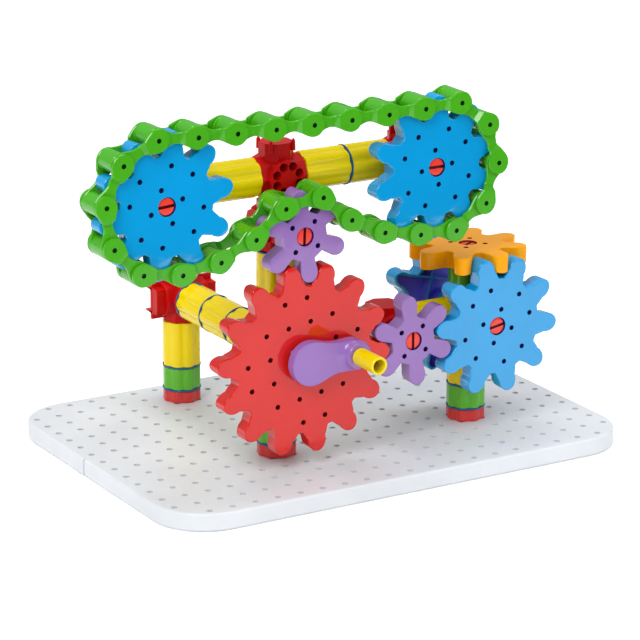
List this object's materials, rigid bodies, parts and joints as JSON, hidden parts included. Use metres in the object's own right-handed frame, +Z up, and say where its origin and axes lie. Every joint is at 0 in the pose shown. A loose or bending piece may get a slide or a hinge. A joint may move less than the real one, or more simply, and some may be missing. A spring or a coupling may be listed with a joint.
{
  "type": "crank gear toy",
  "caption": "Glossy plastic pegboard with fluted columns, connectors and beams that carry a hand-cranked train of meshing gears and a chain drive.",
  "frame": {"origin": "centre of the base plate's underside", "axes": "+Z up, -Y towards the gears' smooth faces and the crank, +X along the base plate's long side"},
  "size_m": [0.3477, 0.226, 0.2306],
  "materials": {
    "base_grey": "glossy moulded plastic",
    "foot_red": "glossy moulded plastic",
    "collar_green": "glossy moulded plastic",
    "tube_yellow": "glossy moulded plastic",
    "connector_red": "glossy moulded plastic",
    "gear_red": "glossy moulded plastic",
    "gear_purple": "glossy moulded plastic",
    "gear_blue": "glossy moulded plastic",
    "gear_orange": "glossy moulded plastic",
    "pin_red": "glossy moulded plastic",
    "crank_purple": "glossy moulded plastic",
    "grip_yellow": "glossy moulded plastic",
    "chain_green": "glossy moulded plastic"
  },
  "bodies": {
    "frame": {"base_plate": "base_grey", "left_foot": "foot_red", "middle_foot": "foot_red", "right_foot": "foot_red", "end_cap": "connector_red", "left_collar": "collar_green", "middle_collar": "collar_green", "right_collar": "collar_green", "middle_upper_collar": "collar_green", "gear_collar": "collar_green", "left_post": "tube_yellow", "middle_post": "tube_yellow", "right_post": "tube_yellow", "middle_upper_post": "tube_yellow", "arm_tube_back": "tube_yellow", "arm_tube_middle": "tube_yellow", "arm_tube_front": "tube_yellow", "beam_tube_left": "tube_yellow", "beam_tube_inner_right": "tube_yellow", "beam_tube_outer_right": "tube_yellow", "link_tube": "tube_yellow", "left_connector": "connector_red", "middle_connector": "connector_red", "right_connector": "connector_red", "upper_connector": "connector_red", "top_connector": "connector_red", "link_connector": "connector_red", "left_beam_connector": "connector_red", "right_beam_connector": "connector_red", "drive_gear_pin": "pin_red", "top_pinion_pin": "pin_red", "lower_pinion_pin": "pin_red", "transfer_gear_pin": "pin_red", "left_sprocket_pin": "pin_red", "right_sprocket_pin": "pin_red", "rear_gear_pin": "pin_red", "crossing_gear_pin": "pin_red", "chain_links_01": "chain_green", "chain_links_02": "chain_green", "chain_links_03": "chain_green", "chain_links_04": "chain_green", "chain_links_05": "chain_green", "chain_links_06": "chain_green", "chain_links_07": "chain_green", "chain_links_08": "chain_green", "chain_links_09": "chain_green", "chain_links_10": "chain_green", "chain_links_11": "chain_green", "chain_links_12": "chain_green", "chain_links_13": "chain_green"},
    "drive": {"drive_gear": "gear_red", "crank_arm": "crank_purple"},
    "grip": {"crank_grip": "grip_yellow"},
    "top_pinion": {"top_pinion": "gear_purple"},
    "lower_pinion": {"lower_pinion": "gear_purple"},
    "transfer_gear": {"transfer_gear": "gear_blue"},
    "crossing_gear": {"crossing_gear": "gear_orange"},
    "rear_gear": {"rear_gear": "gear_blue"},
    "left_sprocket": {"left_sprocket": "gear_blue"},
    "right_sprocket": {"right_sprocket": "gear_blue"}
  },
  "joints": [
    {"name": "crossing_gear_spin", "type": "hinge", "parent": "frame", "child": "crossing_gear", "pos_m": [0.0825, -0.0375, 0.1173], "axis": [0, 0, 1], "continuous": true, "deforming": ["chain_links_01", "chain_links_02", "chain_links_03", "chain_links_04", "chain_links_05", "chain_links_06", "chain_links_07", "chain_links_08", "chain_links_09", "chain_links_10", "chain_links_11", "chain_links_12", "chain_links_13"]},
    {"name": "crank_turn", "type": "hinge", "parent": "frame", "child": "drive", "pos_m": [-0.0525, -0.0662, 0.0785], "axis": [0, -1, 0], "continuous": true},
    {"name": "grip_spin", "type": "hinge", "parent": "drive", "child": "grip", "pos_m": [-0.02407, -0.0662, 0.08049], "axis": [0, -1, 0], "continuous": true},
    {"name": "top_pinion_spin", "type": "hinge", "parent": "frame", "child": "top_pinion", "pos_m": [-0.0525, -0.0662, 0.1535], "axis": [0, -1, 0], "continuous": true},
    {"name": "lower_pinion_spin", "type": "hinge", "parent": "frame", "child": "lower_pinion", "pos_m": [0.0225, -0.0662, 0.0785], "axis": [0, -1, 0], "continuous": true},
    {"name": "transfer_gear_spin", "type": "hinge", "parent": "frame", "child": "transfer_gear", "pos_m": [0.0825, -0.0662, 0.0785], "axis": [0, -1, 0], "continuous": true},
    {"name": "rear_gear_spin", "type": "hinge", "parent": "frame", "child": "rear_gear", "pos_m": [0.0825, -0.0088, 0.0785], "axis": [0, -1, 0], "continuous": true},
    {"name": "left_sprocket_spin", "type": "hinge", "parent": "frame", "child": "left_sprocket", "pos_m": [-0.1425, -0.0662, 0.1835], "axis": [0, -1, 0], "continuous": true},
    {"name": "right_sprocket_spin", "type": "hinge", "parent": "frame", "child": "right_sprocket", "pos_m": [0.0375, -0.0662, 0.1835], "axis": [0, -1, 0], "continuous": true}
  ],
  "couplings": [
    {"joint": "crank_turn", "follows": "crossing_gear_spin", "ratio": -0.57143},
    {"joint": "top_pinion_spin", "follows": "crossing_gear_spin", "ratio": 1.3333},
    {"joint": "lower_pinion_spin", "follows": "crossing_gear_spin", "ratio": 1.3333},
    {"joint": "transfer_gear_spin", "follows": "crossing_gear_spin", "ratio": -0.8},
    {"joint": "rear_gear_spin", "follows": "crossing_gear_spin", "ratio": 0.8},
    {"joint": "left_sprocket_spin", "follows": "crossing_gear_spin", "ratio": -0.8},
    {"joint": "right_sprocket_spin", "follows": "crossing_gear_spin", "ratio": -0.8}
  ]
}
